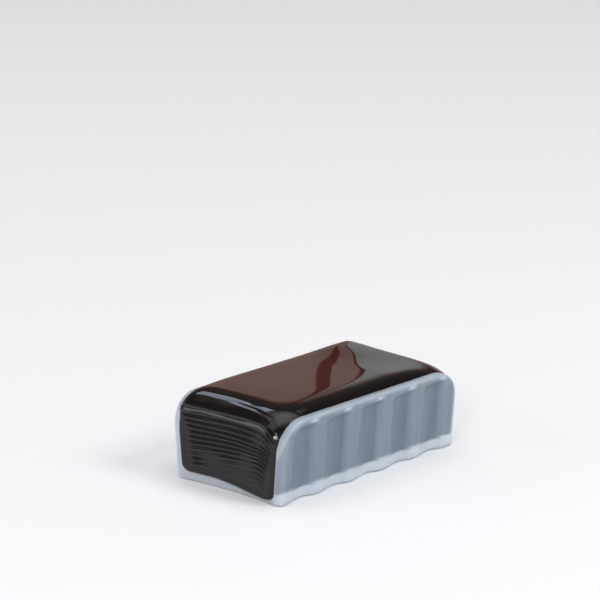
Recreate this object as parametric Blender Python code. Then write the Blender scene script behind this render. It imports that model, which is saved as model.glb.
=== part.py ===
"""A rosin cake for string bows: a block of dark rosin cast into a frosted plastic tray.

The tray is a channel with a floor and two long walls, open along its top and at both ends. Each wall
leans outwards, has rounded top corners, and carries a row of upright finger flutes that run out under
its rim. The rosin fills the channel, stands above the rims as a soft crown, and is bare at both ends,
which are scooped in a little between the walls.

The origin is the middle of the foot. +X runs along the cake, +Z points up through the playing face.
Run it with: blender --background --python part.py
"""

import math

import bmesh
import bpy

MM = 0.001

# The tray.
LENGTH = 59.5 * MM
FOOT_WIDTH = 31.6 * MM
RIM_HEIGHT = 18.9 * MM
DRAFT = math.tan(math.radians(4.6))
WALL = 2.3 * MM
FLOOR = 2.7 * MM
CORNER_RADIUS = 7.3 * MM
END_EDGE_RADIUS = 1.1 * MM
FOOT_EDGE_RADIUS = 0.5 * MM
RIM_EDGE_RADIUS = 0.8 * MM
INNER_FILLET = 1.8 * MM
END_SCOOP = 0.9 * MM

# The end of the floor, which slopes down so that the rosin laps over it.
LIP_HEIGHT = 1.6 * MM
LIP_RUN = 1.4 * MM

# The finger flutes.
FLUTES = 5
FLUTE_PITCH = 11.0 * MM
FLUTE_DEPTH = 1.15 * MM
FALL_SLOPE = 0.27
RISE_SLOPE = 0.46
FLUTE_BLEND = 0.3 * MM
LAND_WIDTH = 1.8 * MM
FLUTE_RUN_OUT = 2.4 * MM
RIM_BAND = 0.75 * MM

# The rosin.
CROWN = 1.7 * MM
CROWN_POWER = 6
SHOULDER_RADIUS = 4.5 * MM
CLEARANCE = 0.3 * MM

# How finely the round shapes are cut.
STEPS_PER_FLUTE = 11
ARC_STEPS = 6
EDGE_STEPS = 3
FLAT_STEPS = 3
WALL_STEPS = 6
CROWN_STEPS = 6
NEAREST_STATIONS = 0.05 * MM

HALF_LENGTH = LENGTH / 2

MATERIALS = {
    "frosted_plastic": {"colour": (0.60, 0.67, 0.75, 0.6), "roughness": 0.42, "metallic": 0.0},
    "dark_rosin": {"colour": (0.020, 0.012, 0.009, 1.0), "roughness": 0.06, "metallic": 0.0},
}


def make_material(name):
    """A Principled material from the table above."""
    look = MATERIALS[name]
    material = bpy.data.materials.new(name)
    material.use_nodes = True
    shader = material.node_tree.nodes["Principled BSDF"]
    red, green, blue, alpha = look["colour"]
    shader.inputs["Base Color"].default_value = (red, green, blue, 1.0)
    shader.inputs["Alpha"].default_value = alpha
    shader.inputs["Roughness"].default_value = look["roughness"]
    shader.inputs["Metallic"].default_value = look["metallic"]
    return material


def smooth_step(share):
    """0 to 1 with level ends."""
    share = min(1.0, max(0.0, share))
    return share * share * (3 - 2 * share)


def rounded_drop(distance_to_end, radius):
    """How far a corner of this radius has fallen at a distance from its end."""
    reach = max(0.0, radius - distance_to_end)
    return radius - math.sqrt(max(0.0, radius * radius - reach * reach))


def rim_height(x):
    """Top of the tray's wall at a station along the cake."""
    return RIM_HEIGHT - rounded_drop(HALF_LENGTH - abs(x), CORNER_RADIUS)


def floor_height(x):
    """Top of the tray's floor, which dips to a lip at each end."""
    dip = smooth_step(1 - (HALF_LENGTH - abs(x)) / LIP_RUN)
    return FLOOR - (FLOOR - LIP_HEIGHT) * dip


def inner_half_width(z):
    """Half the channel's width at a height."""
    return FOOT_WIDTH / 2 + z * DRAFT - WALL


def blended_least(a, b):
    """The smaller of two depths, rounded over where they are nearly the same."""
    overlap = max(0.0, 1 - abs(a - b) / FLUTE_BLEND)
    return min(a, b) - overlap * overlap * FLUTE_BLEND / 4


def flute_depth(x, z):
    """How deep the flutes cut the wall.

    Each flute falls gently from the flat land before it, and rises steeply to the land after it. It fades
    out below the rim.
    """
    half_span = FLUTES * FLUTE_PITCH / 2
    if abs(x) >= half_span:
        return 0.0
    into_flute = (x + half_span) % FLUTE_PITCH
    falling = FALL_SLOPE * into_flute
    rising = RISE_SLOPE * (FLUTE_PITCH - LAND_WIDTH - into_flute)
    depth = max(0.0, blended_least(blended_least(falling, rising), FLUTE_DEPTH))
    fade = smooth_step((rim_height(x) - RIM_BAND - z) / FLUTE_RUN_OUT)
    return depth * fade


def outer_half_width(x, z):
    """Half the tray's width at a height, less its flutes and its rounded upright end edges."""
    end_rounding = rounded_drop(HALF_LENGTH - abs(x), END_EDGE_RADIUS)
    return FOOT_WIDTH / 2 + z * DRAFT - flute_depth(x, z) - end_rounding


def scooped(x, y, z):
    """A point moved towards the middle of the cake, so that the ends are hollow between the walls."""
    across = min(1.0, abs(y) / inner_half_width(FLOOR))
    share = END_SCOOP * (1 - across * across) / HALF_LENGTH
    return (x * (1 - share), y, z)


def arc(centre_y, centre_z, radius, start_degrees, end_degrees, steps):
    """Points along an arc in a cross section, with both ends."""
    points = []
    for step in range(steps + 1):
        angle = math.radians(start_degrees + (end_degrees - start_degrees) * step / steps)
        points.append((centre_y + radius * math.cos(angle), centre_z + radius * math.sin(angle)))
    return points


def tray_half_section(x):
    """One half of the tray's U at a station, from the middle of the foot round to the floor."""
    top = rim_height(x)
    floor = floor_height(x)
    foot_centre = outer_half_width(x, 0.0) - FOOT_EDGE_RADIUS
    points = [(foot_centre * step / FLAT_STEPS, 0.0) for step in range(FLAT_STEPS)]
    points += arc(foot_centre, FOOT_EDGE_RADIUS, FOOT_EDGE_RADIUS, -90, 0, EDGE_STEPS)

    rim_edge = min(RIM_EDGE_RADIUS, 0.8 * (outer_half_width(x, top) - inner_half_width(top)))
    wall_top = top - rim_edge
    for step in range(1, WALL_STEPS):
        share = math.sin(math.pi / 2 * step / WALL_STEPS)
        z = FOOT_EDGE_RADIUS + (wall_top - FOOT_EDGE_RADIUS) * share
        points.append((outer_half_width(x, z), z))
    rim_centre = outer_half_width(x, wall_top) - rim_edge
    points += arc(rim_centre, wall_top, rim_edge, 0, 90, EDGE_STEPS)
    points.append((inner_half_width(top), top))

    fillet_y = inner_half_width(floor) - INNER_FILLET
    points += arc(fillet_y, floor + INNER_FILLET, INNER_FILLET, 0, -90, EDGE_STEPS)
    points += [(fillet_y * step / FLAT_STEPS, floor) for step in reversed(range(FLAT_STEPS))]
    return points


def tray_stations():
    """Places along the cake: close together in each rounded end, even along the flutes."""
    span = FLUTES * FLUTE_PITCH
    count = FLUTES * STEPS_PER_FLUTE
    places = [-span / 2 + span * i / count for i in range(count + 1)]
    for radius in (END_EDGE_RADIUS, CORNER_RADIUS):
        for step in range(ARC_STEPS + 1):
            reach = radius * (1 - math.sin(math.pi / 2 * step / ARC_STEPS))
            places += [HALF_LENGTH - reach, reach - HALF_LENGTH]
    stations = [-HALF_LENGTH]
    for x in sorted(places):
        if x - stations[-1] > NEAREST_STATIONS and HALF_LENGTH - x > NEAREST_STATIONS:
            stations.append(x)
    return stations + [HALF_LENGTH]


def loft(name, rings, cap, material):
    """A closed solid through rings of points. Cap lists the faces, as point numbers, that close a ring."""
    mesh = bpy.data.meshes.new(name)
    shape = bmesh.new()
    loops = [[shape.verts.new(point) for point in ring] for ring in rings]
    count = len(rings[0])
    for loop, following in zip(loops, loops[1:]):
        for i in range(count):
            j = (i + 1) % count
            shape.faces.new((loop[i], loop[j], following[j], following[i]))
    for numbers in cap:
        shape.faces.new([loops[0][i] for i in reversed(numbers)])
        shape.faces.new([loops[-1][i] for i in numbers])
    bmesh.ops.recalc_face_normals(shape, faces=shape.faces)
    shape.to_mesh(mesh)
    shape.free()
    mesh.materials.append(material)
    mesh.shade_smooth()
    mesh.set_sharp_from_angle(angle=math.radians(35))
    thing = bpy.data.objects.new(name, mesh)
    bpy.context.scene.collection.objects.link(thing)
    return thing


def tray_cap(half_count):
    """Faces that close the tray's end: squares along the floor's end, then one face for each wall."""
    ring_count = 2 * half_count - 2
    last = half_count - 1
    squares = [[i, i + 1, last - i - 1, last - i] for i in range(FLAT_STEPS)]
    one_side = squares + [list(range(FLAT_STEPS, half_count - FLAT_STEPS))]
    other_side = [[-i % ring_count for i in reversed(face)] for face in one_side]
    return one_side + other_side


def build_tray():
    """The tray, lofted along its length from U-shaped sections."""
    rings = []
    for x in tray_stations():
        half = tray_half_section(x)
        mirrored = [(-y, z) for y, z in reversed(half[1:-1])]
        rings.append([scooped(x, y, z) for y, z in half + mirrored])
    return loft("tray", rings, tray_cap(len(half)), make_material("frosted_plastic"))


def rosin_outline():
    """The block seen from the side, as (x, share) pairs, with share 0 underneath and 1 on top.

    The pairs run along the underside, up one end, over both shoulders and down the other end.
    """
    lip = [HALF_LENGTH - LIP_RUN * step / 2 for step in range(3)]
    shoulder = []
    for step in range(2 * ARC_STEPS + 1):
        reach = CORNER_RADIUS * (1 - math.cos(math.pi / 2 * step / (2 * ARC_STEPS)))
        shoulder.append(HALF_LENGTH - reach)
    underside = [-x for x in lip] + list(reversed(lip))
    top = shoulder + [0.0] + [-x for x in reversed(shoulder)]
    outline = [(x, 0.0) for x in underside]
    outline += [(HALF_LENGTH, 0.5)]
    outline += [(x, 1.0) for x in top]
    outline += [(-HALF_LENGTH, 0.5)]
    return outline


def rosin_top(x, across):
    """Height of the rosin's skin: level with the rim at the walls and crowned between them."""
    crowned = 1 - abs(across) ** CROWN_POWER
    proud = RIM_HEIGHT + CROWN - rounded_drop(HALF_LENGTH - abs(x), SHOULDER_RADIUS)
    return rim_height(x) * (1 - crowned) + proud * crowned


def rosin_underside(x, across):
    """Height of the block's underside, with the round edge that sits in the tray's fillet."""
    floor = floor_height(x) + CLEARANCE
    half = inner_half_width(floor) - CLEARANCE
    return floor + rounded_drop(half * (1 - abs(across)), INNER_FILLET)


def rosin_point(x, share, across):
    """A point of the block, at a share of its height and a share of its half width."""
    low = rosin_underside(x, across)
    z = low + (rosin_top(x, across) - low) * share
    return scooped(x, across * (inner_half_width(z) - CLEARANCE), z)


def build_rosin():
    """The rosin block, lofted across its width from side outlines."""
    rings = []
    for step in range(-CROWN_STEPS, CROWN_STEPS + 1):
        across = math.sin(math.pi / 2 * step / CROWN_STEPS)
        rings.append([rosin_point(x, share, across) for x, share in rosin_outline()])
    side = list(range(len(rings[0])))
    return loft("rosin_block", rings, [side], make_material("dark_rosin"))


def main():
    for thing in list(bpy.data.objects):
        bpy.data.objects.remove(thing)
    build_tray()
    build_rosin()


main()
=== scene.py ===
import math

import bmesh
import bpy
import numpy as np
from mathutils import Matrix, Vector


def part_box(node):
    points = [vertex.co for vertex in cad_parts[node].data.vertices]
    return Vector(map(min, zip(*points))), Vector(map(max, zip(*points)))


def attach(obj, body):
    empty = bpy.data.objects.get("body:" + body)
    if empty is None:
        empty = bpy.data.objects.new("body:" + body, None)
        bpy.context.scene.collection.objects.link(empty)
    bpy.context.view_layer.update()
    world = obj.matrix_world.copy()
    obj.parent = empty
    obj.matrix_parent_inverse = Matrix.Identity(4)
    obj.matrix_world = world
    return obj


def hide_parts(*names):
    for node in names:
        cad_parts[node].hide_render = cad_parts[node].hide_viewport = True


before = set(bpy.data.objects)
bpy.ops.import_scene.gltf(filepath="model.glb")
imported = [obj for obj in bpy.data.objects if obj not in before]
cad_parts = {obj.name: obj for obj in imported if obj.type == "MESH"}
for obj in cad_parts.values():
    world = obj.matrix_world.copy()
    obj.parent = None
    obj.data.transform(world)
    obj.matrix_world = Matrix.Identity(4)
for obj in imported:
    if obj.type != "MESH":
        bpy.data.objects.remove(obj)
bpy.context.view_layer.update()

MM = 0.001

# ---------------------------------------------------------------------------------------------------
# Sizes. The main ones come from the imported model; the rest are the tray's details.
# ---------------------------------------------------------------------------------------------------

TRAY_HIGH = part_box("tray")[1]
ROSIN_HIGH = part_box("rosin_block")[1]

HALF_LENGTH = TRAY_HIGH.x
RIM_HEIGHT = TRAY_HIGH.z
CROWN_HEIGHT = ROSIN_HIGH.z - RIM_HEIGHT

# The tray's walls, floor and edges.
DRAFT = math.tan(math.radians(4.6))
WALL = 2.3 * MM
FLOOR = 2.7 * MM
CORNER_RADIUS = 7.3 * MM
OUTER_EDGE_RADIUS = 0.9 * MM
UPRIGHT_EDGE_RADIUS = 1.2 * MM
INNER_EDGE_RADIUS = 0.2 * MM
INNER_FLARE_RADIUS = 1.1 * MM
FOOT_EDGE_RADIUS = 1.15 * MM
FOOT_END_RADIUS = 0.35 * MM
INNER_FILLET = 1.8 * MM
END_SCOOP = 0.9 * MM
FOOT_HALF_WIDTH = TRAY_HIGH.y - (RIM_HEIGHT - OUTER_EDGE_RADIUS) * DRAFT

# The floor's lip at each end. The rosin ran down over it on one side.
LIP_RUN = 1.4 * MM
LIP_HEIGHT = 1.9 * MM
RUN_DOWN = 1.4 * MM
RUN_DOWN_SPAN = (7 * MM, -12 * MM)
LIP_LIFT = 0.3 * MM
LIP_LIFT_SPAN = (-10.5 * MM, -13 * MM)

# The finger flutes. A slight ridge runs along the top of each one's steep side.
FLUTES = 5
FLUTE_PITCH = 11.0 * MM
FLUTE_DEPTH = 1.15 * MM
FALL_SLOPE = 0.27
RISE_SLOPE = 0.46
LAND_WIDTH = 1.8 * MM
FLUTE_RUN_OUT = 1.8 * MM
RIM_BAND = 1.0 * MM
SLOPE_BLEND = 0.3 * MM
BED_BLEND = 0.35 * MM
LAND_BLEND = 0.12 * MM
RIDGE_HEIGHT = 0.07 * MM
RIDGE_PLACE = 8.5 * MM
RIDGE_WIDTH = 0.35 * MM


# ---------------------------------------------------------------------------------------------------
# Small helpers for shapes
# ---------------------------------------------------------------------------------------------------

def ramp(value, start, end):
    """0 up to the start, 1 past the end and smooth between them. The end may lie below the start."""
    share = np.clip((value - start) / (end - start), 0.0, 1.0)
    return share * share * (3 - 2 * share)


def between(a, b, share):
    """The value a share of the way from one value to another."""
    return a + (b - a) * share


def bell(x, centre, width):
    """A smooth hump of height 1."""
    return np.exp(-(((x - centre) / width) ** 2))


def blended_least(a, b, reach):
    """The smaller of two values, rounded over where they are within this reach of each other."""
    overlap = np.clip(reach - np.abs(a - b), 0.0, None) / reach
    return np.minimum(a, b) - overlap * overlap * reach / 4


def rounded_drop(distance_to_end, radius):
    """How far a corner of this radius has fallen at a distance from its end."""
    reach = np.clip(radius - distance_to_end, 0.0, radius)
    return radius - np.sqrt(radius * radius - reach * reach)


def waviness(x, y, wavelength, seed, waves=7):
    """A smooth, repeatable unevenness between about -1 and 1: a sum of sine waves in random directions."""
    draw = np.random.default_rng(seed)
    total = np.zeros(np.broadcast(x, y).shape)
    for _ in range(waves):
        heading = draw.uniform(0, 2 * math.pi)
        length = wavelength * draw.uniform(0.7, 1.5)
        phase = draw.uniform(0, 2 * math.pi)
        along = (x * math.cos(heading) + y * math.sin(heading)) / length
        total = total + np.sin(2 * math.pi * along + phase)
    return total / math.sqrt(waves * 2)


def mesh_object(name, points, faces, material, sharp_degrees=40, **shades):
    """A smooth-shaded object from points and faces. Shades are values at every point, for the material."""
    mesh = bpy.data.meshes.new(name)
    mesh.from_pydata([tuple(p) for p in points], [], faces)
    mesh.validate()
    shape = bmesh.new()
    shape.from_mesh(mesh)
    bmesh.ops.recalc_face_normals(shape, faces=shape.faces)
    shape.to_mesh(mesh)
    shape.free()
    mesh.materials.append(material)
    mesh.shade_smooth()
    mesh.set_sharp_from_angle(angle=math.radians(sharp_degrees))
    for label, values in shades.items():
        shade = mesh.attributes.new(label, "FLOAT", "POINT")
        shade.data.foreach_set("value", np.ascontiguousarray(values, dtype=np.float32).ravel())
    thing = bpy.data.objects.new(name, mesh)
    bpy.context.scene.collection.objects.link(thing)
    return thing


def loft_faces(ring_total, ring_points):
    """Squares between neighbouring closed rings of points."""
    faces = []
    for ring in range(ring_total - 1):
        start = ring * ring_points
        following = start + ring_points
        for i in range(ring_points):
            j = (i + 1) % ring_points
            faces.append((start + i, start + j, following + j, following + i))
    return faces


# ---------------------------------------------------------------------------------------------------
# The channel that the tray and the rosin share
# ---------------------------------------------------------------------------------------------------

SHELTER_HALF_WIDTH = 3 * MM


def sheltered(x, y):
    """1 on the side of each end that the rosin ran away from, 0 on the side that it ran down to."""
    return ramp(np.sign(x) * y, SHELTER_HALF_WIDTH, -SHELTER_HALF_WIDTH)


def rim_height(x):
    """Top of the tray's wall at a station along the cake."""
    return RIM_HEIGHT - rounded_drop(HALF_LENGTH - np.abs(x), CORNER_RADIUS)


def edge_distance(x, z):
    """How far a point of the wall, seen from the side, is from the wall's end, round corner or rim."""
    into_corner = CORNER_RADIUS - HALF_LENGTH + np.abs(x)
    above_corner = CORNER_RADIUS - RIM_HEIGHT + z
    in_corner = (into_corner > 0) & (above_corner > 0)
    straight = CORNER_RADIUS - np.maximum(into_corner, above_corner)
    rounded = CORNER_RADIUS - np.hypot(into_corner, above_corner)
    return np.clip(np.where(in_corner, rounded, straight), 0, None)


def inner_edge(x, z, side):
    """How far the wall's inner edge has rounded away: widely at the corners the rosin ran away from."""
    at_end = ramp(np.abs(x), HALF_LENGTH - CORNER_RADIUS, HALF_LENGTH)
    at_corner = ramp(z, RIM_HEIGHT - 0.75 * CORNER_RADIUS, RIM_HEIGHT - 0.25 * CORNER_RADIUS)
    flared = at_end * at_corner * sheltered(x, side)
    radius = between(INNER_EDGE_RADIUS, INNER_FLARE_RADIUS, flared)
    return rounded_drop(edge_distance(x, z), radius)


def inner_half_width(z):
    """Half the channel's width at a height."""
    return FOOT_HALF_WIDTH + z * DRAFT - WALL


def lip_height(x, y):
    """Height of the tray's edge at its ends."""
    side = -np.sign(x) * y
    return LIP_HEIGHT - RUN_DOWN * ramp(side, *RUN_DOWN_SPAN) + LIP_LIFT * ramp(side, *LIP_LIFT_SPAN)


def floor_height(x, y):
    """Top of the tray's floor, which slopes down to its lip at each end."""
    dip = ramp(np.abs(x), HALF_LENGTH - LIP_RUN, HALF_LENGTH)
    return FLOOR - (FLOOR - lip_height(x, y)) * dip


def scoop(y):
    """How far the ends are hollowed in, between the walls."""
    across = np.clip(np.abs(y) / inner_half_width(FLOOR), 0.0, 1.0)
    return END_SCOOP * (1 - across * across)


# ---------------------------------------------------------------------------------------------------
# The tray
# ---------------------------------------------------------------------------------------------------

TRAY_STATION_STEP = 0.25 * MM
NEAREST_STATIONS = 0.012 * MM
FLAT_STEPS = 12
EDGE_STEPS = 6
RIM_STEPS = 9
OUTER_STEPS = 40
INNER_STEPS = OUTER_STEPS + RIM_STEPS - EDGE_STEPS


def flute_place(x):
    """Whether a station lies in the row of flutes, and how far it is into its own flute."""
    half_row = FLUTES * FLUTE_PITCH / 2
    return np.abs(x) < half_row, (x + half_row) % FLUTE_PITCH


def flute_depth(x, z):
    """How deep the finger flutes cut the wall.

    Each flute falls gently from the flat land before it, and rises steeply to the land after it. It fades
    out below the rim.
    """
    in_row, into_flute = flute_place(x)
    falling = FALL_SLOPE * into_flute
    rising = RISE_SLOPE * (FLUTE_PITCH - LAND_WIDTH - into_flute)
    hollow = blended_least(blended_least(falling, rising, SLOPE_BLEND), FLUTE_DEPTH, BED_BLEND)
    ridge = RIDGE_HEIGHT * bell(into_flute, RIDGE_PLACE, RIDGE_WIDTH)
    depth = -blended_least(-hollow, 0.0, LAND_BLEND) - ridge
    flute_top = rim_height(x) - RIM_BAND
    return np.where(in_row, depth * ramp(z, flute_top, flute_top - FLUTE_RUN_OUT), 0.0)


def outer_half_width(x, z):
    """Half the tray's width at a height, less its flutes and its edges, rounder at the ends than the rim."""
    low = ramp(z, RIM_HEIGHT, RIM_HEIGHT - CORNER_RADIUS)
    radius = between(OUTER_EDGE_RADIUS, UPRIGHT_EDGE_RADIUS, low)
    return FOOT_HALF_WIDTH + z * DRAFT - flute_depth(x, z) - rounded_drop(edge_distance(x, z), radius)


def quarter_turn(steps, start_degrees):
    """Angles of a quarter turn from a starting angle, without the first."""
    return np.radians(start_degrees + 90 * np.arange(1, steps + 1) / steps)


def tray_stations():
    """Places along the tray, crowded where its ends turn."""
    places = [np.arange(0, HALF_LENGTH - UPRIGHT_EDGE_RADIUS, TRAY_STATION_STEP)]
    for radius, steps in ((INNER_EDGE_RADIUS, 4), (UPRIGHT_EDGE_RADIUS, 12), (CORNER_RADIUS, 20)):
        places.append(HALF_LENGTH - radius * (1 - np.sin(np.linspace(0, math.pi / 2, steps + 1))))
    half = np.unique(np.concatenate(places))
    half = half[np.concatenate([[True], np.diff(half) > NEAREST_STATIONS])]
    half[-1] = HALF_LENGTH
    return np.concatenate([-half[:0:-1], half])


def tray_half_ring(x, side):
    """One half of the tray's U at every station, from the middle of the foot round to that of the floor.

    x is a column of stations. The results y and z have a row for each station.
    """
    to_end = HALF_LENGTH - np.abs(x)
    top = rim_height(x)
    parts = []

    foot = rounded_drop(to_end, FOOT_END_RADIUS)
    foot_centre = outer_half_width(x, FOOT_EDGE_RADIUS) - FOOT_EDGE_RADIUS
    parts.append((foot_centre * np.arange(FLAT_STEPS + 1) / FLAT_STEPS, foot))
    turn = quarter_turn(EDGE_STEPS, -90)
    z = foot + FOOT_EDGE_RADIUS * (1 + np.sin(turn))
    parts.append((foot_centre + FOOT_EDGE_RADIUS * np.cos(turn), z))

    share = np.sin(np.pi / 2 * np.arange(1, OUTER_STEPS + 1) / OUTER_STEPS)
    wall_top = top - OUTER_EDGE_RADIUS
    z = foot + FOOT_EDGE_RADIUS + (wall_top - foot - FOOT_EDGE_RADIUS) * share
    parts.append((outer_half_width(x, z), z))
    z = wall_top + OUTER_EDGE_RADIUS * np.sin(quarter_turn(RIM_STEPS, 0))
    parts.append((outer_half_width(x, z), z))

    parts.append((inner_half_width(top) + inner_edge(x, top, side), top))
    z = top - INNER_FLARE_RADIUS * (1 - np.sin(quarter_turn(EDGE_STEPS, 90)))
    parts.append((inner_half_width(z) + inner_edge(x, z, side), z))

    fillet_centre = inner_half_width(FLOOR) - INNER_FILLET
    floor_at_wall = floor_height(x, side * fillet_centre)
    share = np.arange(1, INNER_STEPS + 1) / INNER_STEPS
    wall_foot = floor_at_wall + INNER_FILLET
    z = z[:, -1:] + (wall_foot - z[:, -1:]) * share
    inner = inner_half_width(z) + inner_edge(x, z, side)
    parts.append((inner, z))
    turn = quarter_turn(EDGE_STEPS, 180)
    corner = inner[:, -1:]
    lower_y = corner - INNER_FILLET * (1 + np.cos(turn))
    parts.append((lower_y, floor_height(x, side * lower_y) + INNER_FILLET * (1 + np.sin(turn))))
    across = lower_y[:, -1:] * np.arange(FLAT_STEPS - 1, -1, -1) / FLAT_STEPS
    parts.append((across, floor_height(x, side * across)))

    level = np.zeros_like(x)
    y = np.concatenate([level + part for part, _ in parts], axis=1)
    z = np.concatenate([0 * part_y + level + part_z for part_y, part_z in parts], axis=1)
    return y * side, z


def tray_cap(half_count):
    """Squares that close the tray's end: each outer point with the inner point across the wall from it."""
    ring_count = 2 * half_count - 2
    last = half_count - 1
    one_side = [[i, i + 1, last - i - 1, last - i] for i in range(last // 2)]
    return one_side + [[-i % ring_count for i in reversed(face)] for face in one_side]


# How the dark rosin shows through the wall, as painted shade. Spans are where a change starts and ends.
SKIN_DEPTH = 0.3 * MM
THICK_WALL_LIFT = 0.47
FLOOR_LINE = (FLOOR - 0.8 * MM, FLOOR - 0.2 * MM)
RIM_LIGHT = 0.4
RIM_LIGHT_SPAN = (-0.9 * MM, -0.2 * MM)
END_LIGHT = 0.14
END_LIGHT_SPAN = (2.0 * MM, 0.5 * MM)
LAND_SHADE = 0.88
HOLLOW_START = (0.0, 1.6 * MM)
HOLLOW_END = (7.8 * MM, 6.6 * MM)
HOLLOW_TOP = (-1.7 * MM, -2.4 * MM)
STEEP_LIGHT = 0.07
STEEP_PLACE = 8.4 * MM
STEEP_WIDTH = 0.9 * MM
GLEAM_LIGHT = 0.85
GLEAM_PLACE = 7.3 * MM
GLEAM_WIDTH = 1.1 * MM
GLEAM_BELOW_RIM = 1.0 * MM
GLEAM_HEIGHT = 0.4 * MM


def painted_flute_shade(x, z):
    """Painted shade of the flutes on the wall: darkest in their thin beds, lighter up their steep sides.

    A painted highlight, a gleam, sits where each steep side runs out below the rim.
    """
    in_row, into_flute = flute_place(x)
    # Painted shade in the thin flute beds, painted light up the steep sides and a painted gleam below the
    # rim.
    hollow = ramp(into_flute, *HOLLOW_START) * ramp(into_flute, *HOLLOW_END)
    hollow = hollow * ramp(z - rim_height(x), *HOLLOW_TOP) * in_row
    steep_side = STEEP_LIGHT * bell(into_flute, STEEP_PLACE, STEEP_WIDTH) * in_row
    gleam = GLEAM_LIGHT * bell(into_flute, GLEAM_PLACE, GLEAM_WIDTH) * in_row
    gleam = gleam * bell(z, rim_height(x) - GLEAM_BELOW_RIM, GLEAM_HEIGHT)
    return (between(LAND_SHADE, 1, hollow) - steep_side) * (1 - gleam)


def painted_rosin_shade(x, y, z):
    """Painted shade and light on the tray's wall: 1 where the dark rosin lies straight behind it, 0 where
    light comes through.

    The wall is light below the rosin's underside, at its very rim and down its clear ends. Seen from above,
    the underside shows higher up through a thicker wall.
    """
    outside = ramp(np.abs(y) - inner_half_width(z), 0.0, SKIN_DEPTH)
    thickness = outer_half_width(x, z) - inner_half_width(z)
    above_floor = ramp(z - THICK_WALL_LIFT * thickness, *FLOOR_LINE)
    # Painted light at the very rim, and down the wall's ends: fully where the rosin ran away from them, a
    # little where it ran down to them.
    below_rim = 1 - RIM_LIGHT * ramp(z - rim_height(x), *RIM_LIGHT_SPAN)
    near_end = ramp(HALF_LENGTH - np.abs(x), *END_LIGHT_SPAN)
    painted_end_light = 1 - near_end * (END_LIGHT + (1 - END_LIGHT) * sheltered(x, y))
    return outside * above_floor * below_rim * painted_end_light * painted_flute_shade(x, z)


def build_tray(material):
    """The tray's shell, lofted along its length from fluted U-shaped sections."""
    x = tray_stations()[:, None]
    y_left, z_left = tray_half_ring(x, 1)
    y_right, z_right = tray_half_ring(x, -1)
    y = np.concatenate([y_left, y_right[:, -2:0:-1]], axis=1)
    z = np.concatenate([z_left, z_right[:, -2:0:-1]], axis=1)
    along = x * (1 - scoop(y) / HALF_LENGTH)
    points = np.stack([along, y, z], axis=2).reshape(-1, 3)

    rings, ring_points = y.shape
    faces = loft_faces(rings, ring_points)
    for start in (0, (rings - 1) * ring_points):
        faces += [[start + i for i in face] for face in tray_cap(y_left.shape[1])]
    # The painted shade darkens the wall's colour where the rosin lies behind it.
    return mesh_object("tray_shell", points, faces, material, backed=painted_rosin_shade(x, y, z))


# ---------------------------------------------------------------------------------------------------
# The rosin
# ---------------------------------------------------------------------------------------------------

ACROSS_STEPS = 150
LOWER_EDGE_STEPS = 8
END_STEPS = 150
SHOULDER_STEPS = 64
TOP_STEPS = 130
UNDER_STEPS = 26

# The block's outline. It stands just off the channel, whose half-width is taken half-way up.
SEAT_GAP = 0.03 * MM
HALF_CHANNEL = inner_half_width(10 * MM)
SHOULDER_RUN = 7.0 * MM
SHOULDER_RUN_FAR = 4.5 * MM
SHOULDER_DROP = 4.5 * MM
LOWER_EDGE_RADIUS = 0.6 * MM
ROLL_OFF = 0.55 * MM
ROLL_OFF_RUN = 1.9 * MM
FILLET_SPAN = (5 * MM, 1 * MM)
WALL_CLEARANCE_POWER = 8

# The top. The crown's powers say how tightly it turns down to the walls.
CROWN_POWER_FAR = 20
CROWN_POWER_NEAR = 12
CROWN_POWER_AT_END = 5
SLACK_SPAN = (17 * MM, 25 * MM)
TAUT_SPAN = (-15 * MM, -25 * MM)
SKIN_BELOW_RIM = 0.05 * MM
SKIN_BELOW_CROWN = 0.02 * MM
SWELL = 0.3 * MM
SWELL_PLACE = 22 * MM
SWELL_WIDTH = 8 * MM
DROOP = 0.9 * MM
DROOP_SPAN = (10 * MM, 28 * MM)
DROOP_POWER = 2.2
SLOW_WAVE = 0.015 * MM
SLOW_WAVELENGTH = 34 * MM
FINE_WAVE = 0.0008 * MM
FINE_WAVELENGTH = 6 * MM

# The chill ripples on its ends. A fold is a sum of waves, each so many to a pitch and so strong.
RIPPLE_PITCH = 1.22 * MM
FOLD_WAVES = ((1, 1.0), (2, 0.4), (3, 0.12))
FOLD_SWING = 0.45
LOW_TILT = 0.1
HIGH_TILT = 0.02
TILT_SPAN = (7 * MM, 13 * MM)
TILT_CENTRE = 12 * MM
FAR_TILT = 0.05
FAR_TILT_START = 4 * MM
SAG = 3.2 * MM
SAG_SPAN = (-7.5 * MM, -15 * MM)
SAG_POWER = 1.6
LEVEL_WAVE = 0.12 * MM
LEVEL_WAVELENGTH = 16 * MM
FAINT_RIPPLE = 0.17 * MM
BOLD_RIPPLE = 0.22 * MM
BOLD_SPAN = (6 * MM, 17 * MM)
STRENGTH_WAVE = 0.25
STRENGTH_WAVELENGTH = 9 * MM
SIDE_FADE_SPAN = (0.3 * MM, 3.5 * MM)
FOOT_STRENGTH = 0.85
FOOT_FADE_SPAN = (3 * MM, 8 * MM)
RIPPLE_START = 1.5 * MM

# Other relief of the ends. Facing is how squarely a point faces along the cake: 1 on the end, 0 on the top.
FACE_WAVE = 0.05 * MM
FACE_WAVELENGTH = 11 * MM
RIPPLE_FACING = (0.68, 0.93)
SHOULDER_FACING = (0.1, 0.4)
END_FACING = (0.98, 0.88)
WRINKLE = 0.035 * MM
WRINKLE_SQUEEZE = 3.5
STRAND = 0.010 * MM
STRAND_SQUEEZE = 11
STRAND_LEAN = 0.6
WRINKLE_LENGTH = 9 * MM
SLIT_DEPTH = 0.07 * MM
SLIT_WIDTH = math.radians(4)
SLIT_TURN = math.radians(55)
SLIT_LEAN = math.radians(0.9) / MM
SLIT_MIDDLE = 2.5 * MM
SLIT_SPAN_HIGH = (4 * MM, 1 * MM)
SLIT_SPAN_LOW = (-12 * MM, -10 * MM)
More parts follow.
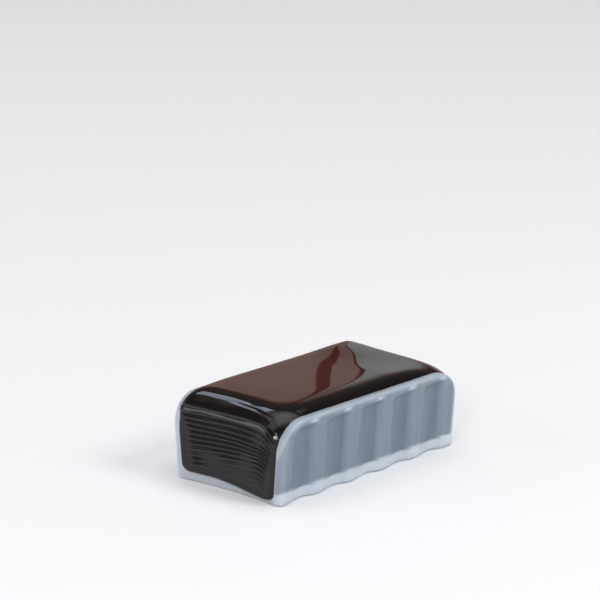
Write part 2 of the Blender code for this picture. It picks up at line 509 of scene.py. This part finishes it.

# Painted red glow for light through it, and where it lost its polish. Places along it are measured from its
# ends.
EDGE_RED = 0.15
RED_END_SPAN = (-2.2 * MM, -1.6 * MM)
RED_FOOT_SPAN = (0.45 * MM, 0.1 * MM)
RED_WALL_SPAN = (0.35 * MM, 0.55 * MM)
RED_CORNER_ACROSS = (-2 * MM, -11 * MM)
RED_CORNER_ALONG = (-5.7 * MM, -3.2 * MM)
RED_CORNER_UP = (14.5 * MM, 18.5 * MM)
CHILL_SPAN = (-5 * MM, -2.5 * MM)


def crown(x, across):
    """1 on the flat of the top, falling to 0 at the walls: tightly on one side, slacker on the other."""
    slack = between(CROWN_POWER_NEAR, CROWN_POWER_AT_END, ramp(np.abs(x), *SLACK_SPAN))
    taut = between(CROWN_POWER_FAR, CROWN_POWER_NEAR, ramp(x, *TAUT_SPAN))
    return 1 - np.abs(across) ** np.where(across > 0, taut, slack)


def skin_height(x, y, across):
    """Height of the top skin away from its shoulders: crowned and wavy.

    It is a little proud near the far end, and droops there towards one wall.
    """
    swell = SWELL * bell(x, SWELL_PLACE, SWELL_WIDTH) * (0.5 + 0.5 * across)
    droop = DROOP * ramp(x, *DROOP_SPAN) * (0.5 - 0.5 * across) ** DROOP_POWER
    slow = SLOW_WAVE * waviness(x, y, SLOW_WAVELENGTH, seed=13)
    fine = FINE_WAVE * waviness(x, y, FINE_WAVELENGTH, seed=12)
    crowned = crown(x, across) * (CROWN_HEIGHT - SKIN_BELOW_CROWN + swell - droop + slow + fine)
    return RIM_HEIGHT - SKIN_BELOW_RIM + crowned


def ripple(height, y, end):
    """Chill ripples on an end: nearly level folds, each with a steep underside, fainter towards the foot."""
    side = y * -end
    tilt = between(LOW_TILT, HIGH_TILT, ramp(height, *TILT_SPAN))
    rise = tilt * (TILT_CENTRE - side) - FAR_TILT * np.clip(-side - FAR_TILT_START, 0.0, None)
    sag = SAG * ramp(side, *SAG_SPAN) ** SAG_POWER
    level = height - rise + sag + LEVEL_WAVE * waviness(y, 3 * height, LEVEL_WAVELENGTH, seed=21 + end)
    turn = 2 * math.pi * level / RIPPLE_PITCH
    fold = 0.5 + FOLD_SWING * sum(strength * np.sin(times * turn) for times, strength in FOLD_WAVES)
    uneven = 1 + STRENGTH_WAVE * waviness(y, level, STRENGTH_WAVELENGTH, seed=31 + end)
    bold = between(FAINT_RIPPLE, BOLD_RIPPLE, ramp(height, *BOLD_SPAN))
    side_fade = ramp(inner_half_width(height) - np.abs(y), *SIDE_FADE_SPAN)
    foot_fade = between(FOOT_STRENGTH, 1, ramp(height, *FOOT_FADE_SPAN))
    return bold * uneven * fold * side_fade * foot_fade


def shoulder_slit(turn, side):
    """A shallow crease across most of a shoulder. It falls a little towards the side the rosin ran to."""
    middle = SLIT_TURN - SLIT_LEAN * (SLIT_MIDDLE - side)
    reach = ramp(side, *SLIT_SPAN_HIGH) * ramp(side, *SLIT_SPAN_LOW)
    return SLIT_DEPTH * bell(turn, middle, SLIT_WIDTH) * reach


def end_profile(across, end):
    """The block's outline over one end, from the lower edge over the shoulder, for every place across.

    Returns arrays x and z: rows are places across, columns run upwards.
    """
    a = across[:, None]
    y = a * (HALF_CHANNEL - SEAT_GAP)
    crowned = crown(end * (HALF_LENGTH - SHOULDER_DROP), a)
    longest = SHOULDER_RUN if end < 0 else SHOULDER_RUN_FAR
    run = between(CORNER_RADIUS, longest, crowned)
    drop = between(CORNER_RADIUS, SHOULDER_DROP, crowned)
    top = skin_height(end * (HALF_LENGTH - run), y, a)
    low = floor_height(np.full_like(y, end * HALF_LENGTH), y) + SEAT_GAP
    roll_off = ROLL_OFF * ramp(HALF_CHANNEL - np.abs(y), ROLL_OFF_RUN, 0) * (1 - sheltered(end, y))
    clear_of_wall = 1 - np.abs(a) ** WALL_CLEARANCE_POWER
    face = HALF_LENGTH - scoop(y) - roll_off
    face = face + FACE_WAVE * waviness(y, 0 * y, FACE_WAVELENGTH, seed=41 + end) * clear_of_wall

    turn = np.radians(np.linspace(-90, 0, LOWER_EDGE_STEPS))
    edge_x = face - LOWER_EDGE_RADIUS * (1 - np.cos(turn))
    edge_z = low + LOWER_EDGE_RADIUS * (1 + np.sin(turn))

    start = low + LOWER_EDGE_RADIUS
    face_z = start + (top - drop - start) * np.arange(1, END_STEPS) / END_STEPS
    face_x = face + 0 * face_z

    turn = np.radians(np.linspace(0, 90, SHOULDER_STEPS))
    arc_x = face - run * (1 - np.cos(turn))
    arc_z = top - drop * (1 - np.sin(turn))
    arc_out_x = np.cos(turn) / run
    arc_out_z = np.sin(turn) / drop
    arc_out = np.hypot(arc_out_x, arc_out_z)

    x = np.concatenate([edge_x, face_x, arc_x], axis=1)
    z = np.concatenate([edge_z, face_z, arc_z], axis=1)
    out_x = np.concatenate([0 * edge_x, 1 + 0 * face_x, arc_out_x / arc_out], axis=1)
    out_z = np.concatenate([0 * edge_x, 0 * face_x, arc_out_z / arc_out], axis=1)

    push = ripple(z, y + 0 * z, end) * ramp(out_x, *RIPPLE_FACING) * ramp(z - start, 0, RIPPLE_START)
    wrinkles = WRINKLE * waviness(WRINKLE_SQUEEZE * z, y, WRINKLE_LENGTH, seed=51 + end)
    along_strand = STRAND_SQUEEZE * (z - STRAND_LEAN * x)
    wrinkles = wrinkles + STRAND * waviness(along_strand, y, WRINKLE_LENGTH, seed=61 + end)
    on_shoulder = ramp(out_x, *SHOULDER_FACING) * ramp(out_x, *END_FACING)
    push = push + wrinkles * on_shoulder * clear_of_wall
    push[:, -SHOULDER_STEPS:] -= shoulder_slit(turn, -end * y)
    return end * (x + push * out_x), z + push * out_z


def painted_glow(x, y, z):
    """Painted red glow for light through the rosin: most at its thin far corner, a little at its edges on
    the tray.
    """
    at_end = ramp(np.abs(x) - HALF_LENGTH, *RED_END_SPAN)
    low = floor_height(np.sign(x) * HALF_LENGTH, y) + SEAT_GAP
    at_foot = ramp(z - low, *RED_FOOT_SPAN)
    at_wall = ramp(np.abs(y) - inner_half_width(z), *RED_WALL_SPAN)
    edges = EDGE_RED * at_end * np.maximum(at_foot, at_wall * sheltered(x, y))
    corner = ramp(y, *RED_CORNER_ACROSS) * ramp(x - HALF_LENGTH, *RED_CORNER_ALONG) * ramp(z, *RED_CORNER_UP)
    return np.maximum(edges, corner)


def chilled(x):
    """1 over the shoulders and ends, where the casting chilled and lost its polish, 0 along the top."""
    return ramp(np.abs(x) - HALF_LENGTH, *CHILL_SPAN)


def build_rosin(material):
    """The rosin block: an outline over both ends and the top for every place across, lofted sideways."""
    across = np.sin(np.linspace(-math.pi / 2, math.pi / 2, ACROSS_STEPS))
    near_x, near_z = end_profile(across, -1)
    far_x, far_z = end_profile(across, 1)
    a = across[:, None]
    top_x = between(near_x[:, -1:], far_x[:, -1:], np.arange(1, TOP_STEPS) / TOP_STEPS)
    top_z = skin_height(top_x, a * (HALF_CHANNEL - SEAT_GAP), a)
    under_x = between(far_x[:, :1], near_x[:, :1], np.arange(1, UNDER_STEPS) / UNDER_STEPS)
    under_z = floor_height(under_x, a * (inner_half_width(FLOOR) - SEAT_GAP)) + SEAT_GAP

    x = np.concatenate([near_x, top_x, far_x[:, ::-1], under_x], axis=1)
    z = np.concatenate([near_z, top_z, far_z[:, ::-1], under_z], axis=1)
    in_fillet = rounded_drop((1 - np.abs(a)) * inner_half_width(FLOOR), INNER_FILLET)
    z = z + in_fillet * ramp(z, *FILLET_SPAN)
    y = a * (inner_half_width(z) + inner_edge(x, z, np.sign(a)) - SEAT_GAP)
    points = np.stack([x, y, z], axis=2).reshape(-1, 3)

    rings, ring_points = x.shape
    faces = loft_faces(rings, ring_points)
    faces.append(list(range(ring_points)))
    faces.append([(rings - 1) * ring_points + i for i in reversed(range(ring_points))])
    # The thin shade is a painted red glow where light would shine through the rosin.
    shades = {"thin": painted_glow(x, y, z), "chilled": chilled(x)}
    return mesh_object("rosin_cast", points, faces, material, sharp_degrees=55, **shades)


# ---------------------------------------------------------------------------------------------------
# Small helpers for materials
# ---------------------------------------------------------------------------------------------------

WHITE = (1.0, 1.0, 1.0)


def new_material(name):
    """A material, its node tree and its Principled shader."""
    material = bpy.data.materials.new(name)
    material.use_nodes = True
    tree = material.node_tree
    return material, tree, tree.nodes["Principled BSDF"]


def set_sockets(shader, values):
    """Constants, each on a shader's own socket."""
    for label, value in values.items():
        shader.inputs[label].default_value = value


def add_node(tree, kind, inputs=None, **settings):
    """A shader node with its settings and the values of its sockets."""
    made = tree.nodes.new(kind)
    for key, value in settings.items():
        setattr(made, key, value)
    set_sockets(made, inputs or {})
    return made


def mesh_shade(tree, label):
    """A value that the mesh carries at every point."""
    return add_node(tree, "ShaderNodeAttribute", attribute_name=label).outputs["Fac"]


def object_pattern(tree, stretch, detail):
    """Noise in the object's own space. Stretch gives how many times it repeats in a metre each way."""
    place = add_node(tree, "ShaderNodeTexCoord")
    scale = add_node(tree, "ShaderNodeMapping", {"Scale": stretch})
    noise = add_node(tree, "ShaderNodeTexNoise", {"Scale": 1.0, "Detail": detail, "Roughness": 0.5})
    tree.links.new(place.outputs["Object"], scale.inputs["Vector"])
    tree.links.new(scale.outputs["Vector"], noise.inputs["Vector"])
    return noise.outputs["Fac"]


def combined(tree, operation, *values):
    """A value worked out from others, each of them a number or another node's output."""
    made = add_node(tree, "ShaderNodeMath", operation=operation)
    for socket, value in zip(made.inputs, values):
        if isinstance(value, bpy.types.NodeSocket):
            tree.links.new(value, socket)
        else:
            socket.default_value = value
    return made.outputs[0]


def remapped(tree, value, from_low, from_high, to_low, to_high):
    """A value carried from one range to another."""
    made = add_node(tree, "ShaderNodeMapRange", {"From Min": from_low, "From Max": from_high,
                                                 "To Min": to_low, "To Max": to_high})
    tree.links.new(value, made.inputs["Value"])
    return made.outputs["Result"]


def mixed_colour(tree, share, colour_a, colour_b):
    """A colour between two, by a share."""
    made = add_node(tree, "ShaderNodeMix", {6: (*colour_a, 1.0), 7: (*colour_b, 1.0)}, data_type="RGBA")
    tree.links.new(share, made.inputs[0])
    return made.outputs[2]


def tinted(tree, colour, share, tint):
    """A colour multiplied by a tint where the share is 1 and left alone where it is 0."""
    made = add_node(tree, "ShaderNodeMix", {0: 1.0}, data_type="RGBA", blend_type="MULTIPLY")
    tree.links.new(colour, made.inputs[6])
    tree.links.new(mixed_colour(tree, share, WHITE, tint), made.inputs[7])
    return made.outputs[2]


def bumped(tree, height, distance, below=None):
    """A bump of this height in metres, on top of another bump."""
    made = add_node(tree, "ShaderNodeBump", {"Strength": 1.0, "Distance": distance})
    tree.links.new(height, made.inputs["Height"])
    if below is not None:
        tree.links.new(below, made.inputs["Normal"])
    return made.outputs["Normal"]


# ---------------------------------------------------------------------------------------------------
# Materials
# ---------------------------------------------------------------------------------------------------

# The plastic's own colour, the painted shade where the rosin shows through it, and its cloudy tint.
PLASTIC_CLEAR = (0.74, 0.81, 0.88)
PLASTIC_PAINTED_SHADE = (0.19, 0.25, 0.315)
PLASTIC_CLOUD = (0.86, 0.89, 0.93)
PLASTIC_ROUGHNESS = (0.30, 0.42)
STREAK_BUMP = 0.03 * MM
GRAIN_BUMP = 0.012 * MM

# The rosin's own colour, and its painted red glow where light shines through it thinly.
ROSIN_THICK = (0.006, 0.0035, 0.003)
ROSIN_PAINTED_GLOW = (0.17, 0.034, 0.0045)
ROSIN_ROUGHNESS = (0.008, 0.035)
CHILLED_ROUGHNESS = 0.10


def frosted_plastic():
    """Milky polypropylene, with painted shade where the rosin shows through it and painted gleams on its
    flutes.

    It is cloudy and wispy, with upright streaks and a fine grain from the mould.
    """
    material, tree, shader = new_material("frosted_plastic")
    cloud = object_pattern(tree, (240, 240, 120), detail=3)
    wisps = object_pattern(tree, (900, 900, 130), detail=4)
    streaks = object_pattern(tree, (1500, 1500, 25), detail=3)
    grain = object_pattern(tree, (4200, 4200, 4200), detail=2)
    # Painted shade where the rosin shows through, lifted a little by the wisps.
    backed = mesh_shade(tree, "backed")
    dark = combined(tree, "MULTIPLY", backed, remapped(tree, wisps, 0.35, 0.65, 0.94, 1.0))
    body = mixed_colour(tree, dark, PLASTIC_CLEAR, PLASTIC_PAINTED_SHADE)
    body = tinted(tree, body, remapped(tree, cloud, 0.3, 0.7, 1.0, 0.0), PLASTIC_CLOUD)
    roughness = remapped(tree, streaks, 0.3, 0.7, *PLASTIC_ROUGHNESS)
    bump = bumped(tree, streaks, STREAK_BUMP)
    bump = bumped(tree, grain, GRAIN_BUMP, below=bump)
    tree.links.new(body, shader.inputs["Base Color"])
    tree.links.new(roughness, shader.inputs["Roughness"])
    tree.links.new(bump, shader.inputs["Normal"])
    set_sockets(shader, {
        "IOR": 1.49,
        "Subsurface Weight": 1.0,
        "Subsurface Radius": (1.0, 0.95, 0.9),
        "Subsurface Scale": 3.5 * MM,
        "Transmission Weight": 0.2,
    })
    return material


def dark_rosin():
    """Glassy black-brown resin with a painted red glow where it is thin, a faint haze, and duller where it
    chilled.
    """
    material, tree, shader = new_material("dark_rosin")
    # Painted red glow where light would shine through the rosin thinly.
    body = mixed_colour(tree, mesh_shade(tree, "thin"), ROSIN_THICK, ROSIN_PAINTED_GLOW)
    haze = object_pattern(tree, (160, 160, 160), detail=4)
    haze = remapped(tree, haze, 0.35, 0.7, *ROSIN_ROUGHNESS)
    dull = remapped(tree, mesh_shade(tree, "chilled"), 0.0, 1.0, 0.0, CHILLED_ROUGHNESS)
    tree.links.new(body, shader.inputs["Base Color"])
    tree.links.new(combined(tree, "ADD", haze, dull), shader.inputs["Roughness"])
    set_sockets(shader, {"IOR": 1.45})
    return material


def pale_floor():
    """Plain, pale and matt."""
    material, _, shader = new_material("pale_floor")
    set_sockets(shader, {"Base Color": (0.93, 0.93, 0.93, 1.0), "Roughness": 0.7})
    return material


# ---------------------------------------------------------------------------------------------------
# Camera, light and floor
# ---------------------------------------------------------------------------------------------------

CAMERA_PLACE = Vector((-406.8, -361.3, 180.0)) * MM
CAMERA_HEADING = math.radians(42.03)
CAMERA_DIP = math.radians(14.64)
CAMERA_LENS = 150.4
CAMERA_SENSOR = 36.0
CAMERA_CLIP = (0.01, 50.0)

FLOOR_HALF = 1.5
FLOOR_DROP = 0.02 * MM

# The lamps, each with its direction from the cake, distance, width, height, brightness and colour.
SOFTBOXES = (
    ("overhead_back", (0.23, 0.65, 0.73), 0.9, 0.24, 0.14, 3.2, (0.74, 0.85, 1.0)),
    ("back_left", (-0.66, 0.65, 0.40), 0.9, 0.45, 0.20, 3.2, (0.80, 0.88, 1.0)),
    ("left_key", (-0.80, -0.45, 0.40), 0.9, 0.14, 0.22, 17.0, (0.96, 0.98, 1.0)),
    ("front_fill", (0.20, -0.73, 0.61), 1.0, 0.35, 0.35, 9.0, (0.97, 0.98, 1.0)),
)

# The backdrop's colour by height, from the horizon to overhead.
BACKDROP_STOPS = (
    (0.0, (0.45, 0.45, 0.46)),
    (0.12, (0.55, 0.55, 0.56)),
    (0.20, (0.68, 0.68, 0.69)),
    (0.28, (0.68, 0.68, 0.69)),
    (0.345, (0.42, 0.36, 0.35)),
    (0.40, (0.30, 0.14, 0.11)),
    (0.47, (0.14, 0.13, 0.135)),
    (0.75, (0.12, 0.12, 0.125)),
    (0.95, (2.0, 2.0, 2.04)),
)

# Bands of the backdrop, each with its middle, width and softness in degrees round the horizon, and a tint:
# a warm card with a red stripe and a red edge behind the cake, and a dim side to the left of it.
BACKDROP_BANDS = (
    (50.9, 20.7, 0.05, (0.86, 0.555, 0.485)),
    (41.45, 0.36, 0.03, (0.50, 0.22, 0.22)),
    (40.61, 0.14, 0.02, (0.40, 0.18, 0.18)),
    (138.0, 90.0, 12.0, (0.55, 0.56, 0.58)),
)

# The heights between which the bands fade out.
BAND_TOP = (0.42, 0.56)


def aim(thing, way):
    """Turns a camera or a lamp to face along a direction."""
    thing.rotation_euler = way.to_track_quat("-Z", "Y").to_euler()
    bpy.context.scene.collection.objects.link(thing)


def place_camera():
    """A long lens, looking down a little on the near end and the near wall."""
    data = bpy.data.cameras.new("camera")
    data.lens = CAMERA_LENS
    data.sensor_width = CAMERA_SENSOR
    data.clip_start, data.clip_end = CAMERA_CLIP
    camera = bpy.data.objects.new("camera", data)
    camera.location = CAMERA_PLACE
    aim(camera, Vector((math.cos(CAMERA_HEADING) * math.cos(CAMERA_DIP),
                        math.sin(CAMERA_HEADING) * math.cos(CAMERA_DIP),
                        -math.sin(CAMERA_DIP))))
    bpy.context.scene.camera = camera


def softbox(name, direction, distance, width, height, radiance, colour):
    """A rectangular area light in a direction from the cake, facing it. Radiance is its brightness."""
    data = bpy.data.lights.new(name, "AREA")
    data.shape = "RECTANGLE"
    data.size = width
    data.size_y = height
    data.energy = radiance * math.pi * width * height
    data.color = colour
    lamp = bpy.data.objects.new(name, data)
    way = Vector(direction).normalized()
    lamp.location = way * distance + Vector((0, 0, RIM_HEIGHT / 2))
    aim(lamp, -way)
    lamp.visible_camera = False


def tinted_band(tree, colour, heading, low, middle, width, softness, tint):
    """A colour multiplied by a tint inside a band of headings, as far up as the share `low` reaches."""
    offset = combined(tree, "ABSOLUTE", combined(tree, "SUBTRACT", heading, math.radians(middle)))
    half = math.radians(width / 2)
    across = remapped(tree, offset, half - math.radians(softness), half, 1.0, 0.0)
    return tinted(tree, colour, combined(tree, "MULTIPLY", across, low), tint)


def light_studio():
    """Four softboxes, and a plain backdrop for the polished top to mirror."""
    for box in SOFTBOXES:
        softbox(*box)

    world = bpy.data.worlds.new("studio")
    bpy.context.scene.world = world
    world.use_nodes = True
    tree = world.node_tree
    place = add_node(tree, "ShaderNodeTexCoord")
    way = add_node(tree, "ShaderNodeSeparateXYZ")
    tree.links.new(place.outputs["Generated"], way.inputs[0])

    backdrop = add_node(tree, "ShaderNodeValToRGB")
    tree.links.new(way.outputs["Z"], backdrop.inputs[0])
    stops = backdrop.color_ramp.elements
    for stop, (height, colour) in zip(stops, (BACKDROP_STOPS[0], BACKDROP_STOPS[-1])):
        stop.position = height
        stop.color = (*colour, 1)
    for height, colour in BACKDROP_STOPS[1:-1]:
        stops.new(height).color = (*colour, 1)

    heading = combined(tree, "ARCTAN2", way.outputs["Y"], way.outputs["X"])
    low = remapped(tree, way.outputs["Z"], *BAND_TOP, 1.0, 0.0)
    colour = backdrop.outputs[0]
    for band in BACKDROP_BANDS:
        colour = tinted_band(tree, colour, heading, low, *band)
    tree.links.new(colour, tree.nodes["Background"].inputs["Color"])


def lay_floor(material):
    """A wide square, a hair below the foot."""
    points = [(FLOOR_HALF * x, FLOOR_HALF * y, -FLOOR_DROP) for x, y in ((-1, -1), (1, -1), (1, 1), (-1, 1))]
    floor = mesh_object("floor", points, [(0, 1, 2, 3)], material)


# ---------------------------------------------------------------------------------------------------
# The scene
# ---------------------------------------------------------------------------------------------------

tray = build_tray(frosted_plastic())
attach(tray, "root")
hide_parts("tray")

rosin = build_rosin(dark_rosin())
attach(rosin, "root")
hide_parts("rosin_block")

place_camera()
light_studio()
lay_floor(pale_floor())
bpy.context.scene.view_settings.view_transform = "Standard"
